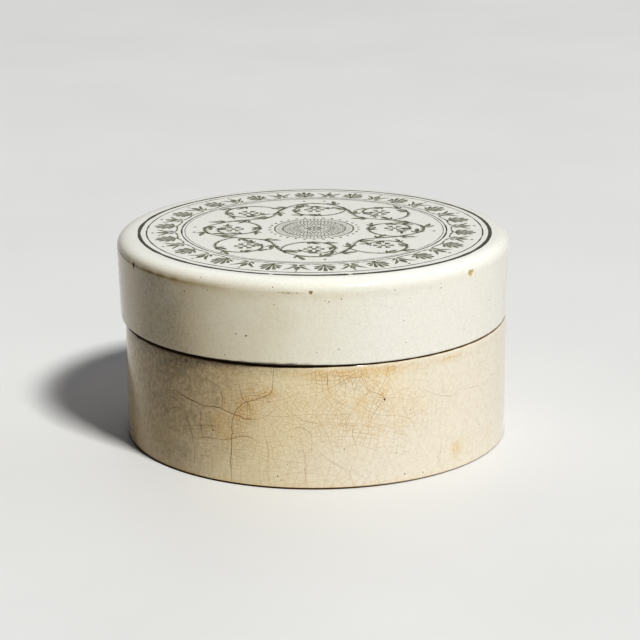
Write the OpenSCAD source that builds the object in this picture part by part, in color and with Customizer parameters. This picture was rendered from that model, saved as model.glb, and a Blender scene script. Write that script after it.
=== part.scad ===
// Round lidded pot of glazed white earthenware, about 83 mm across, for a stiff paste.
// The pot is straight sided and low. It stands on a foot ring and has a neck, set in from
// its wall by a flat ledge. The lid drops over the neck until its rim rests on the ledge,
// so the two walls carry on from each other and only a fine dark line shows between them.
// Sizes are in millimetres. +Z is up, and the origin is the middle of the foot ring, on
// the surface that the pot stands on.

/* [Pot wall] */
// Diameter of the pot's outer wall
pot_d = 82.8; // [60:0.2:110]
// Height of the ledge that carries the lid
ledge_h = 26.5; // [16:0.5:60]
// Radius of the round on the ledge's outer edge
ledge_round = 0.6; // [0.2:0.1:1.2]

/* [Foot] */
// Thickness of the pot's floor over the hollow of the foot
floor_t = 4.4; // [2.5:0.1:7]
// Depth of the hollow inside the foot ring
foot_hollow = 1.2; // [0.4:0.1:3]
// Width of the foot ring, from its hollow to the outer wall
foot_w = 5.6; // [3.5:0.1:12]
// Radius of the round on the heel, where the wall meets the foot ring
heel_round = 0.6; // [0.3:0.1:2]
// Radius of the rounds inside the foot ring
foot_round = 0.5; // [0.2:0.1:0.8]

/* [Well] */
// How much the radius of the well narrows from its mouth to its floor
well_draft = 0.6; // [0:0.1:3]
// Radius of the cove between the well's wall and its floor
well_cove = 6; // [1:0.5:8]

/* [Neck] */
// Thickness of the neck
neck_wall = 3; // [2:0.1:6]
// Radius of the rounds on the neck's lip
neck_round = 1.2; // [0.2:0.1:1.4]
// Radius of the cove between the neck and the ledge
neck_cove = 0.5; // [0.2:0.1:0.8]

/* [Lid] */
// Height of the lid, from its rim to the edge of its top
lid_h = 18; // [12:0.5:30]
// Thickness of the lid's skirt at its rim
lid_wall = 3.9; // [2.5:0.1:6]
// Thickness of the lid's top at its edge
lid_top = 4.2; // [2.5:0.1:6]
// How far the lid's rim stands proud of the pot's wall, all round
lid_proud = 0.4; // [0:0.1:2]
// How much wider the lid's radius is at its top than at its rim
lid_flare = 0.6; // [0:0.1:2]
// Rise of the lid's top from its edge to its middle
lid_dome = 0.3; // [0.1:0.1:3]
// Radius of the round shoulder of the lid
lid_shoulder = 2.7; // [0.5:0.1:4]
// Radius of the cove between the lid's skirt and its ceiling
lid_cove = 4; // [0.5:0.1:6]
// Radius of the round on the outer edge of the rim
rim_round_out = 0.5; // [0.2:0.1:1]
// Radius of the round on the inner edge of the rim, which clears the cove at the neck
rim_round_in = 0.9; // [0.8:0.1:1.3]

/* [Fit of the lid] */
// Play between the lid's skirt and the neck, all round
lid_play = 0.9; // [0.4:0.1:2]
// Share of its play by which the loose lid sits to the left
lid_slid = 0.6; // [0:0.05:0.7]
// Headroom between the neck's lip and the lid's ceiling
neck_room = 4.3; // [1:0.1:8]

/* [Hidden] */

pot_colour = "#DBCBA4";
lid_colour = "#ECE9DE";
smooth = 180;     // pieces that a full circle is drawn with
dome_steps = 7;   // pieces of the domed top from its middle to its edge, the first one flat
hair = 0.0002;    // extra radius of a corner's disc, so that it crosses its sides cleanly

pot_r = pot_d / 2;
well_floor = foot_hollow + floor_t;
hollow_r = pot_r - foot_w;

rim_r = pot_r + lid_proud;
skirt_r = rim_r - lid_wall;
ceiling_h = lid_h - lid_top;
edge_r = rim_r + lid_flare;

neck_r = skirt_r - lid_play;
well_r = neck_r - neck_wall;
lip_h = ledge_h + ceiling_h - neck_room;
lid_shift = lid_slid * lid_play;
ceiling_cove = min(lid_cove, neck_room);

// A section is a list of corners, anticlockwise, each as [radius, height, rounding].
// Half sections of the pot and of the lid, from the axis outwards:
pot_corners = [
    [0, foot_hollow, 0],
    [hollow_r, foot_hollow, foot_round],
    [hollow_r, 0, foot_round],
    [pot_r, 0, heel_round],
    [pot_r, ledge_h, ledge_round],
    [neck_r, ledge_h, neck_cove],
    [neck_r, lip_h, neck_round],
    [well_r, lip_h, neck_round],
    [well_r - well_draft, well_floor, well_cove],
    [0, well_floor, 0]
];
lid_corners = [
    [skirt_r, 0, rim_round_in],
    [rim_r, 0, rim_round_out],
    [edge_r, lid_h, lid_shoulder],
    for (k = [dome_steps - 1 : -1 : 1]) dome_point(k),
    [0, lid_h + lid_dome, 0],
    [0, ceiling_h, 0],
    [skirt_r, ceiling_h, ceiling_cove]
];

// Outer end of piece k of the domed top: outside the flat middle, the height falls off
// with the square of the way to the edge
function dome_point(k) =
    let (way = (k - 1) / (dome_steps - 1))
    [edge_r * k / dome_steps, lid_h + lid_dome * (1 - way * way), 0];

function spot(corners, i) =
    let (c = corners[(i + len(corners)) % len(corners)]) [c[0], c[1]];
function unit(v) = v / norm(v);
// Directions of the two sides that leave corner i, first to the corner before it
function sides(corners, i) = [
    unit(spot(corners, i - 1) - spot(corners, i)),
    unit(spot(corners, i + 1) - spot(corners, i))
];
function half_angle(corners, i) = let (s = sides(corners, i)) acos(s[0] * s[1]) / 2;
// Points where the round of corner i meets its two sides
function round_ends(corners, i) =
    let (along = corners[i][2] / tan(half_angle(corners, i)))
    [for (side = sides(corners, i)) spot(corners, i) + along * side];
function round_middle(corners, i) =
    let (s = sides(corners, i), out = corners[i][2] / sin(half_angle(corners, i)))
    spot(corners, i) + out * unit(s[0] + s[1]);
// A section that is listed anticlockwise turns left at each of its outer corners
function is_outer(corners, i) = let (s = sides(corners, i)) cross(s[1], s[0]) > 0;

// A section with rounded corners: the outline cuts straight across each corner, and a
// disc that just reaches both sides then fills an outer corner or scoops an inner one
module rounded_section(corners) {
    rounded = [for (i = [0 : len(corners) - 1]) if (corners[i][2] > 0) i];
    difference() {
        union() {
            polygon([for (i = [0 : len(corners) - 1])
                each corners[i][2] > 0 ? round_ends(corners, i) : [spot(corners, i)]]);
            for (i = rounded)
                if (is_outer(corners, i)) corner_disc(corners, i);
        }
        for (i = rounded)
            if (!is_outer(corners, i)) corner_disc(corners, i);
    }
}

module corner_disc(corners, i) {
    translate(round_middle(corners, i)) circle(r = corners[i][2] + hair, $fn = smooth);
}

// Pot: foot ring, straight wall, ledge, neck and coved well in one turned piece
module pot() {
    color(pot_colour)
        rotate_extrude($fn = smooth)
            rounded_section(pot_corners);
}

// Lid: domed top, round shoulder and a skirt that flares a little towards the top
module lid() {
    color(lid_colour)
        translate([-lid_shift, 0, ledge_h])
            rotate_extrude($fn = smooth)
                rounded_section(lid_corners);
}

pot();
lid();
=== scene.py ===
# %% [markdown]
# # A lidded pot of glazed earthenware
# This notebook dresses a small turned pot: a low straight wall, a lid that drops over a hidden
# neck, a black print on the lid and a glaze that has crazed with age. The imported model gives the
# real sizes, and every piece here is worked out from them, so nothing has to be fitted by eye.
# Shapes are written in millimetres and become metres only when a mesh is filled.

import bpy
import numpy as np
from mathutils import Matrix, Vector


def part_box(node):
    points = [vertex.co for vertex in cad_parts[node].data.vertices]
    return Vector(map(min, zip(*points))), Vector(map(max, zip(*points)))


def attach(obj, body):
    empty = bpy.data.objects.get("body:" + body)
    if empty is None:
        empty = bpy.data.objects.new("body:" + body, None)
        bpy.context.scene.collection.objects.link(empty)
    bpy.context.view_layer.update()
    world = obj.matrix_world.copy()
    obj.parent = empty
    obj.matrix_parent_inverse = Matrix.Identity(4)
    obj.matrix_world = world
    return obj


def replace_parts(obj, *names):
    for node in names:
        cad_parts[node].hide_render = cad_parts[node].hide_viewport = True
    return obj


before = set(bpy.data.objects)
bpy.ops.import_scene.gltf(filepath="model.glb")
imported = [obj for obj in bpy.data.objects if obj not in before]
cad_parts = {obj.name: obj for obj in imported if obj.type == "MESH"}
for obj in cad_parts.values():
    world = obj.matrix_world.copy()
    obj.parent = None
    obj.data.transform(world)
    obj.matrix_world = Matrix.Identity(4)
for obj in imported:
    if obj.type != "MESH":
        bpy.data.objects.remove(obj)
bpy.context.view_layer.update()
MM = 0.001

pot_low, pot_high = (np.array(corner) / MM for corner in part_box("pot"))
lid_low, lid_high = (np.array(corner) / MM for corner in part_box("lid"))
print("pot", pot_low.round(2), pot_high.round(2), "lid", lid_low.round(2), lid_high.round(2))

# %% [markdown]
# ## Sizes
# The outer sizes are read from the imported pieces: the wall's radius, the ledge that the lid rests
# on, the lip of the neck and the top of the lid. The rest are the sizes inside the walls, which a
# box can't show, so they are named here as the potter would name them. The heel is drawn a
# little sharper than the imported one, and the lid's top stays a hair lower, to leave room for
# the print.

# %% Sizes
POT_R = pot_high[0]
LIP_Z = pot_high[2]
LEDGE_Z = lid_low[2]
LID_X = (lid_low[0] + lid_high[0]) / 2

HEEL_ROUND, LEDGE_ROUND = 0.25, 0.6
FOOT_W, FOOT_HOLLOW, FOOT_ROUND = 5.6, 1.2, 0.5
FLOOR_T, WELL_DRAFT, WELL_COVE = 4.4, 0.6, 6.0
NECK_WALL, NECK_ROUND, NECK_COVE = 3.0, 1.2, 0.5
LID_PROUD, LID_WALL, LID_TOP_T, LID_DOME = 0.4, 3.9, 4.2, 0.3
LID_COVE, RIM_ROUND_OUT, RIM_ROUND_IN, LID_PLAY = 4.0, 0.5, 0.9, 0.9
PRINT_ROOM = 0.01

RIM_R = POT_R + LID_PROUD
SKIRT_R = RIM_R - LID_WALL
NECK_R = SKIRT_R - LID_PLAY
WELL_R = NECK_R - NECK_WALL
EDGE_R = (lid_high[0] - lid_low[0]) / 2
TOP_Z = lid_high[2] - PRINT_ROOM
EDGE_Z = TOP_Z - LID_DOME
STRIP = 2 * np.pi * POT_R
print(f"wall {2 * POT_R:.1f} across, lid {2 * EDGE_R:.1f}, height {TOP_Z:.1f} mm")

# %% [markdown]
# ## Camera
# A long lens from half a metre away, sixteen degrees above the table: the walls stay almost
# parallel and the round top flattens to a slim oval. The place comes from fitting the rims and
# the foot of the pot, and the small roll is the tilt of the hand-held camera.

# %% Camera
LENS = 134.7
DISTANCE = 523.3
AIM = (0.873, 0.0, 24.14)
ELEVATION = np.radians(16.257)
ROLL = np.radians(-0.306)


def add_object(name, data):
    """A new object in the scene, at the origin."""
    thing = bpy.data.objects.new(name, data)
    bpy.context.scene.collection.objects.link(thing)
    return thing


def add_camera():
    """A camera that looks at AIM along +Y and down. Its place is
    AIM + DISTANCE * (0, -cos e, sin e)."""
    data = bpy.data.cameras.new("camera")
    data.lens, data.sensor_width, data.clip_start = LENS, 36.0, 0.01
    camera = add_object("camera", data)
    back = np.array([0.0, -np.cos(ELEVATION), np.sin(ELEVATION)])
    place = (np.array(AIM) + DISTANCE * back) * MM
    camera.matrix_world = (Matrix.Translation(place)
                           @ Matrix.Rotation(np.pi / 2 - ELEVATION, 4, "X")
                           @ Matrix.Rotation(ROLL, 4, "Z"))
    bpy.context.scene.camera = camera


add_camera()

# %% [markdown]
# ## Filling a mesh
# Blender can take a mesh as plain arrays: all corners at once, then which corners make each
# face. That is much faster than adding faces one by one, and it keeps the shape a formula. Every
# piece is finished in the same way: it stays at the origin and rides on the pot or on the lid.

# %% Helpers for pieces
def fill_mesh(name, points, face_groups, smooth):
    """A mesh from an (n, 3) array in millimetres and a list of face arrays, one row per face."""
    corners = np.concatenate([group.ravel() for group in face_groups]).astype(np.int32)
    sizes = np.concatenate([np.full(len(group), group.shape[1]) for group in face_groups])
    mesh = bpy.data.meshes.new(name)
    mesh.vertices.add(len(points))
    mesh.vertices.foreach_set("co", (np.asarray(points) * MM).astype(np.float32).ravel())
    mesh.loops.add(len(corners))
    mesh.loops.foreach_set("vertex_index", corners)
    mesh.polygons.add(len(sizes))
    mesh.polygons.foreach_set("loop_start", (np.cumsum(sizes) - sizes).astype(np.int32))
    mesh.update(calc_edges=True)
    mesh.polygons.foreach_set("use_smooth", np.full(len(sizes), smooth))
    print(f"{name}: {len(points)} points, {int(sizes.sum() - 2 * len(sizes))} triangles")
    return mesh


def add_piece(mesh, body, material):
    """Shows a mesh as a piece that rides on a body and takes its finish from a slot."""
    piece = add_object(mesh.name, mesh)
    mesh.materials.append(material)
    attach(piece, body)
    return piece


def paint(mesh, name, values):
    """Stores one number per point, for a material to read."""
    layer = mesh.attributes.new(name, "FLOAT", "POINT")
    layer.data.foreach_set("value", np.asarray(values, np.float32))


# %% [markdown]
# ## Directions
# Angles come back all the time: round the wall, along a crack, round a flower. Three small rules
# do the work, for one angle or vector or for many at once.

# %% Helpers for directions
def direction(angle):
    """The unit vector (cos a, sin a)."""
    return np.stack([np.cos(angle), np.sin(angle)], -1)


def turned_left(vector):
    """A flat vector turned by 90 degrees, anticlockwise."""
    return np.stack([-vector[..., 1], vector[..., 0]], -1)


def wrapped(angle, half=np.pi):
    """An angle brought between minus half a turn and half a turn."""
    return (angle + half) % (2 * half) - half


# %% [markdown]
# ## Turned shapes
# Both pieces were turned on a wheel or jiggered in a mould, so each is one outline spun round an
# axis. Half of the section is drawn as a list of corners, each with its own rounding, and every
# rounding becomes a true arc. No hand-made pot is perfectly round, so the finished shape is
# squeezed a little, by less than a twentieth of a millimetre: the eye reads it in the reflections.

# %% Helpers for turned shapes
ARC_STEP, ARC_LEAST, ARC_MOST = 0.14, 4, 20
SQUEEZE, POT_PHASE, LID_PHASE = 0.0005, 0.7, 2.9


def between(a, b, pieces):
    """The points that cut the line from a to b into equal pieces, without its ends."""
    share = np.linspace(0, 1, pieces + 1)[1:-1, None]
    return a + share * (b - a)


def rounded_corner(before, corner, after, rounding):
    """An arc that touches both sides of a corner. It starts rounding / tan(half angle) from the
    corner, and its middle lies rounding / sin(half angle) away, on the line that halves it."""
    to_before = (before - corner) / np.linalg.norm(before - corner)
    to_after = (after - corner) / np.linalg.norm(after - corner)
    half = np.arccos(to_before @ to_after) / 2
    start = corner + to_before * rounding / np.tan(half)
    end = corner + to_after * rounding / np.tan(half)
    halving = (to_before + to_after) / np.linalg.norm(to_before + to_after)
    middle = corner + halving * rounding / np.sin(half)
    first, last = (np.arctan2(*(spot - middle)[::-1]) for spot in (start, end))
    sweep = wrapped(last - first)
    count = min(int(abs(sweep) * rounding / ARC_STEP) + ARC_LEAST, ARC_MOST)
    return middle + rounding * direction(first + np.linspace(0, 1, count) * sweep)


def rounded_outline(corners):
    """An outline of (radius, height, rounding, pieces) rows: each corner rounded, and the side
    that leaves it cut into that number of pieces."""
    places = np.array([row[:2] for row in corners])
    bends = [places[:1]]
    for i in range(1, len(corners) - 1):
        rounding = corners[i][2]
        bends.append(rounded_corner(places[i - 1], places[i], places[i + 1], rounding)
                     if rounding else places[i:i + 1])
    bends.append(places[-1:])
    outline = [bends[0]]
    for i, bend in enumerate(bends[1:]):
        outline += [between(bends[i][-1], bend[0], corners[i][3]), bend]
    return np.concatenate(outline)


def turned(outline, angles):
    """An outline spun round the axis: at angle a, the point (r, z) lands at (r sin a, -r cos a, z).
    Both ends of the outline lie on the axis, and each becomes a single point."""
    ring = outline[1:-1]
    radius, height = ring[:, :1], ring[:, 1:]
    grid = np.stack([radius * np.sin(angles), -radius * np.cos(angles), height + 0 * angles], -1)
    ends = np.array([[0, 0, outline[0, 1]], [0, 0, outline[-1, 1]]])
    points = np.concatenate([ends[:1], grid.reshape(-1, 3), ends[1:]])
    at = 1 + np.arange(grid[..., 0].size).reshape(len(ring), len(angles))
    beside = np.roll(at, -1, axis=1)
    quads = np.stack([at[:-1], beside[:-1], beside[1:], at[1:]], -1).reshape(-1, 4)
    first = np.stack([0 * at[0], beside[0], at[0]], -1)
    last = np.stack([0 * at[0] + len(points) - 1, at[-1], beside[-1]], -1)
    return points, [quads, first, last]


def squeezed(points, phase):
    """Points drawn in towards the axis by up to 0.1 percent, in two and in three lobes."""
    angle = np.arctan2(points[..., 0], -points[..., 1])
    lobes = (0.6 * np.sin(2 * angle + phase)
             + 0.4 * np.sin(3 * angle + 0.08 * points[..., 2] + 2 * phase))
    factor = 1 - SQUEEZE * (1 + lobes)
    return points * np.stack([factor, factor, np.ones_like(factor)], -1)


def polar_of(points):
    """Angle from the middle of the front, distance from the axis, and height."""
    around = np.arctan2(points[:, 0], -points[:, 1])
    return around, np.hypot(points[:, 0], points[:, 1]), points[:, 2]


# %% [markdown]
# ## Outlines of the two pieces
# The pot is one line from the middle of its underside out, up and back in to the middle of the
# well: the hollow under the foot, the foot ring, the heel, the wall, the ledge, the neck and its
# lip, and the well with its cove. The lid's line runs from the middle of its ceiling down the
# skirt, round the rim and up the flared wall. Its shoulder isn't a plain quarter circle: the top
# bends away early and the wall turns late, as on a superellipse, (x/a)^n + (z/b)^n = 1.

# %% Outlines
SHOULDER_A, SHOULDER_B, SHOULDER_N, SHOULDER_ROWS = 4.2, 2.5, 2.6, 46


def pot_outline():
    """Half section of the pot, from the middle of its underside to the middle of its well. The
    wall's rows are closest at its foot and at the joint, where the dark lines are painted."""
    return rounded_outline([
        (0, FOOT_HOLLOW, 0, 5), (POT_R - FOOT_W, FOOT_HOLLOW, FOOT_ROUND, 1),
        (POT_R - FOOT_W, 0, FOOT_ROUND, 4), (POT_R, 0, HEEL_ROUND, 8),
        (POT_R, 2, 0, 58), (POT_R, LEDGE_Z - 2.5, 0, 10),
        (POT_R, LEDGE_Z, LEDGE_ROUND, 6), (NECK_R, LEDGE_Z, NECK_COVE, 5),
        (NECK_R, LIP_Z, NECK_ROUND, 1), (WELL_R, LIP_Z, NECK_ROUND, 6),
        (WELL_R - WELL_DRAFT, FOOT_HOLLOW + FLOOR_T, WELL_COVE, 8),
        (0, FOOT_HOLLOW + FLOOR_T, 0, 0),
    ])


def top_height(radius):
    """Height of the lid's domed top: it falls with the square of the way from the middle."""
    return EDGE_Z + LID_DOME * (1 - (radius / EDGE_R) ** 2)


def shoulder():
    """The superellipse from the wall to the top, with a wide, b high and power n."""
    t = np.linspace(0, np.pi / 2, SHOULDER_ROWS)
    inner = EDGE_R - SHOULDER_A
    rise = top_height(inner) - (EDGE_Z - SHOULDER_B)
    return np.stack([inner + SHOULDER_A * np.cos(t) ** (2 / SHOULDER_N),
                     EDGE_Z - SHOULDER_B + rise * np.sin(t) ** (2 / SHOULDER_N)], 1)


def lid_outline():
    """Half section of the lid, from the middle of its ceiling to the middle of its top."""
    over = shoulder()
    lower = rounded_outline([
        (0, EDGE_Z - LID_TOP_T, 0, 8), (SKIRT_R, EDGE_Z - LID_TOP_T, LID_COVE, 8),
        (SKIRT_R, LEDGE_Z, RIM_ROUND_IN, 3), (RIM_R, LEDGE_Z, RIM_ROUND_OUT, 36), (*over[0], 0, 0),
    ])
    radius = np.linspace(over[-1, 0], 0, 24)[1:]
    return np.concatenate([lower[:-1], over, np.stack([radius, top_height(radius)], 1)])


# %% [markdown]
# Cracks, specks and printed lines are drawn flat and laid on afterwards. A flat drawing of a wall
# is the wall unrolled: x is the way round, and y the way up along the outline. The laying rule
# looks y up on the outline, finds the point and the outward direction there, and bends x round.

# %% Laying flat drawings on the pieces
TO_LID = np.array([LID_X, 0, 0])


def wall_rule(outline, start_z, shift, phase):
    """A rule that lays (way round, way up, lift) on the outer side of a turned wall. Where the
    wall is straight, the way up equals the height from start_z on."""
    path = np.concatenate([[0], np.cumsum(np.linalg.norm(np.diff(outline, axis=0), axis=1))])
    path += start_z - np.interp(start_z, outline[:, 1], path)
    slope = np.gradient(outline, path, axis=0)
    outward = np.stack([slope[:, 1], -slope[:, 0]], 1)
    outward /= np.linalg.norm(slope, axis=1, keepdims=True)

    def place(flat, lift):
        """Lays flat points on the wall, lifted off it along its outward direction."""
        around = flat[:, 0] / POT_R
        spot = [np.interp(flat[:, 1], path, outline[:, k] + lift * outward[:, k]) for k in (0, 1)]
        laid = np.stack([spot[0] * np.sin(around), -spot[0] * np.cos(around), spot[1]], 1)
        return squeezed(laid, phase) + shift
    return place


def part_of(outline, first, last):
    """The stretch of an outline between the points nearest to two places."""
    i, j = (np.linalg.norm(outline - spot, axis=1).argmin() for spot in (first, last))
    return outline[i:j + 1]


on_pot = wall_rule(part_of(pot_outline(), (POT_R - 1, 0), (POT_R - 1, LEDGE_Z)), 1.0, 0, POT_PHASE)
on_lid = wall_rule(part_of(lid_outline(), (RIM_R - 0.5, LEDGE_Z), (EDGE_R - SHOULDER_A, EDGE_Z)),
                   LEDGE_Z + 1, TO_LID, LID_PHASE)


def on_top(flat, lift):
    """Lays points of a flat drawing, (x, y) round the middle, on the lid's top."""
    laid = np.stack([flat[:, 0], flat[:, 1], top_height(np.hypot(*flat.T)) + lift], 1)
    return squeezed(laid, LID_PHASE) + TO_LID


# %% [markdown]
# ## Strips
# Cracks and printed lines are thin closed strips, a few thousandths of a millimetre high. One
# function builds every strip of a piece at once: it takes the lines as flat points, finds the way
# along each, steps half a width to both sides, and lays the four corners of the section on.

# %% Helpers for strips
SUNK = 0.006


def strips(lines, widths, place, thick):
    """Closed strips along many lines. At each point the side is the line's direction turned by
    90 degrees, and the section's corners are left low, left high, right high and right low."""
    count = np.array([len(line) for line in lines])
    last = np.cumsum(count) - 1
    first = last - count + 1
    line_of = np.repeat(np.arange(len(lines)), count)
    spot, i = np.concatenate(lines), np.arange(count.sum())
    half = np.concatenate([np.broadcast_to(w, n) for w, n in zip(widths, count)])[:, None] / 2
    along = spot[np.minimum(i + 1, last[line_of])] - spot[np.maximum(i - 1, first[line_of])]
    along = along / np.maximum(np.linalg.norm(along, axis=1, keepdims=True), 1e-9)
    side = turned_left(along)
    left, right = spot + side * half, spot - side * half
    points = np.stack([place(left, -SUNK), place(left, thick), place(right, thick),
                       place(right, -SUNK)], 1)
    at = np.arange(4 * len(spot)).reshape(-1, 4)
    here = i[i < last[line_of]]
    a, b = at[here], at[here + 1]
    sides = np.stack([a, np.roll(a, -1, 1), np.roll(b, -1, 1), b], -1).reshape(-1, 4)
    return points.reshape(-1, 3), [sides, at[last], at[first][:, ::-1]]


def dot(place, radius):
    """A round dot, as a short line whose width is the chord of a circle."""
    t = np.cos(np.linspace(np.pi, 0, 9))
    line = np.asarray(place) + radius * t[:, None] * np.array([1.0, 0.0])
    return line, 2 * radius * np.sqrt(np.clip(1 - t**2, 0.02, 1))


# %% [markdown]
# ## Noise that closes on itself
# Stains and smoke need soft irregular edges, and they have to meet round the back of the pot.
# A sum of plane waves does both: each wave has a whole number of crests round the wall.

# %% Soft noise and soft spots
WAVES = 16


def soft_noise(around, height, size, seed):
    """Noise about 0 over angle (radians) and height (mm), mostly from -1 to 1. It is a sum of
    waves about size mm long, each with a whole number of crests round the wall. Divided by the
    root of their number, the sum keeps a spread of 0.7 however many there are."""
    random = np.random.default_rng(seed)
    heading = random.uniform(0, 2 * np.pi, WAVES)
    length = size * random.uniform(0.7, 1.6, WAVES)
    crests = np.round(2 * np.pi * POT_R * np.cos(heading) / length)
    climb = 2 * np.pi * np.sin(heading) / length
    phase = random.uniform(0, 2 * np.pi, WAVES)
    total = sum(np.sin(crests[k] * around + climb[k] * height + phase[k]) for k in range(WAVES))
    return total / np.sqrt(WAVES)


def raggedness(around, height, mean, *noises):
    """A factor about a mean, with soft noises of (share, size, seed) in it."""
    return sum((share * soft_noise(around, height, size, seed) for share, size, seed in noises),
               mean)


def soft_spots(around, height, rows):
    """Soft spots: each row is (degrees, height, half width, half height, strength), and adds
    strength * exp(-(dx / width)^2 - (dy / height)^2)."""
    total = np.zeros(np.broadcast(around, height).shape)
    for degrees, middle, half_w, half_h, strength in rows:
        turn = wrapped(around - np.radians(degrees))
        total += strength * np.exp(-(turn * POT_R / half_w) ** 2
                                   - ((height - middle) / half_h) ** 2)
    return total


def bumps(degrees, rows):
    """Soft bumps over the angle: each row is (degrees, half width, height)."""
    return sum(high * np.exp(-(wrapped(degrees - middle, 180) / half) ** 2)
               for middle, half, high in rows)


# %% [markdown]
# ## The pot's stains
# Over the years the pot took up stain through its crazing, most of all under the ledge, where
# paste ran out, and in a few patches on the front. Smoke or damp left grey patches at the left,
# where a broad band of painted shade, laid on like a film of dirt, darkens both pieces on the side
# away from the light. Angles are counted from the middle of the front, to the right. A spot of
# negative strength was rubbed clean, and the run spots are runs of paste that nobody washed off.

# %% Stains and smoke
TAN_SPOTS = [
    (-21.5, 17.6, 3.2, 1.7, 0.70), (-15.0, 20.0, 3.6, 1.7, 0.85), (-27.5, 12.2, 3.6, 2.6, 0.95),
    (-20.5, 15.6, 2.6, 2.2, 0.60), (11, 24.7, 9.5, 1.3, 0.95), (4, 24.0, 4.0, 2.4, 0.55),
    (16, 22.5, 5.0, 3.6, 0.42), (10, 18.5, 9.0, 5.5, 0.36), (27, 15.2, 6.5, 3.2, 0.34),
    (14, 12.0, 9.0, 4.0, 0.25), (45, 4.4, 1.5, 1.7, 0.85), (63, 4.9, 2.2, 1.6, 0.45),
    (41, 24.8, 4.2, 0.8, 0.90), (-30, 24.0, 5.5, 1.7, 0.55), (-20, 10.0, 30.0, 14.0, 0.20),
    (-39.5, 16.9, 2.0, 0.9, 0.60), (6, 0.4, 30.0, 0.7, 0.80), (-38, 0.5, 18.0, 0.8, 0.60),
    (10.5, 21.6, 2.8, 2.0, -0.50), (128, 18.0, 8.0, 5.0, 0.60), (165, 23.8, 12.0, 2.2, 0.70),
    (-150, 12.0, 7.0, 6.0, 0.55), (-118, 21.0, 5.0, 3.5, 0.50), (96, 8.0, 6.0, 3.0, 0.35),
]
SMOKE_SPOTS = [
    (-43, 13.4, 5.5, 2.6, 0.42), (-46.5, 10.8, 3.4, 2.4, 0.52), (-44, 5.0, 4.0, 1.8, 0.45),
    (-36, 13.6, 3.4, 2.8, 0.28), (-56, 19.0, 12.0, 7.0, 0.60), (-54, 6.0, 5.0, 3.0, 0.12),
    (-38, 22.6, 7.0, 3.4, 0.60), (-60, 25.0, 24.0, 1.6, 0.60), (150, 9.0, 9.0, 5.0, 0.40),
    (10, 22.0, 3.0, 2.2, 0.16),
]
RUN_SPOTS = [(4, 24.9, 9.0, 0.8, 0.55), (21, 24.9, 9.0, 0.8, 0.42), (45, 4.8, 1.6, 1.9, 0.35)]
FINE_SPOTS = [(8, 17.0, 26.0, 11.5, 1.0), (-24, 14.0, 12.0, 10.0, 0.9)]


def tan_stain(around, height):
    """How deep the tan stain is at a point of the wall, from 0 to 1: ragged, and lowered in a band
    just under the lid, which leaves a pale line: partly stain rubbed off and partly a painted
    highlight on the ledge's round."""
    ragged = raggedness(around, height, 0.85, (0.25, 5.0, 3), (0.22, 1.7, 4))
    # a pale band under the joint: painted highlight of the ledge's round, with some stain rubbed
    # off
    rubbed_and_highlight = np.clip((LEDGE_Z - 0.55 - height) / 0.45, 0.15, 1)
    return np.clip(soft_spots(around, height, TAN_SPOTS) * ragged, 0, 1) * rubbed_and_highlight


def smoke_stain(around, height):
    """How deep the grey stain is at a point of the wall, from 0 to 1."""
    ragged = raggedness(around, height, 0.75, (0.35, 5.0, 7), (0.35, 1.6, 8))
    return np.clip(soft_spots(around, height, SMOKE_SPOTS) * ragged, 0, 1)


def soil_and_shade_film(around, height, centre, half):
    """Painted shade on the side away from the light, laid on like a film of dirt: a broad soft band
    with a ragged edge, given by its middle in degrees and its half width in mm."""
    ragged = raggedness(around, height, 1, (0.14, 9.0, 13), (0.06, 2.0, 14))
    return soft_spots(around, height, [(centre, 22, half, 70, 0.33)]) * ragged
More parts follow.
